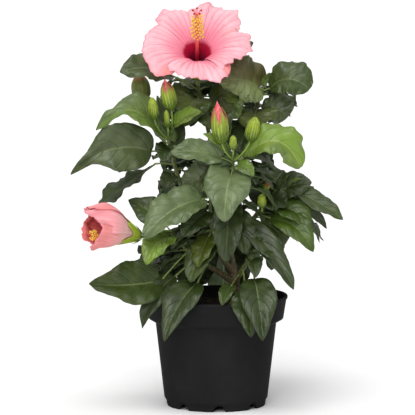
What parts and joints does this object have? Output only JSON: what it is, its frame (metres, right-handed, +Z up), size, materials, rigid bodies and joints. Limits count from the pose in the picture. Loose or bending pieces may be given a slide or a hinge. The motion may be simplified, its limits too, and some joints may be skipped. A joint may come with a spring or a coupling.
{
  "type": "potted hibiscus shrub",
  "caption": "Small leafy hibiscus shrub in flower, with pointed buds, growing from a tapered round nursery pot with a deep rim band.",
  "frame": {"origin": "middle of the flat pad under the pot, on the surface the pot stands on", "axes": "+Z up, -Y toward the front that the open flower faces, +X to the right seen from the front"},
  "size_m": [0.244, 0.1845, 0.3642],
  "materials": {
    "pot": "satin moulded",
    "soil": "rough, crumbly",
    "bark": "matte, fissured",
    "green_wood": "matte",
    "leaf": "waxy, half gloss",
    "petal": "soft, silky",
    "column": "dusty",
    "calyx": "smooth, waxy"
  },
  "bodies": {
    "root": {"pot": "pot", "soil": "soil", "trunk": "bark", "bough_left": "green_wood", "foliage_left": "leaf", "foliage_leader": "leaf", "bough_front": "green_wood", "foliage_front": "leaf", "bough_right": "green_wood", "foliage_right": "leaf", "bough_right_back": "green_wood", "foliage_right_back": "leaf", "bough_low_left": "green_wood", "foliage_low_left": "leaf", "bough_centre_left": "green_wood", "foliage_centre_left": "leaf", "bough_low_right": "green_wood", "foliage_low_right": "leaf", "bough_rear_left": "green_wood", "foliage_rear_left": "leaf", "bough_rear": "green_wood", "foliage_rear": "leaf", "bough_rear_right": "green_wood", "foliage_rear_right": "leaf", "open_bloom_petals": "petal", "open_bloom_column": "column", "open_bloom_calyx": "calyx", "side_bloom_petals": "petal", "side_bloom_column": "column", "side_bloom_calyx": "calyx"}
  },
  "joints": []
}
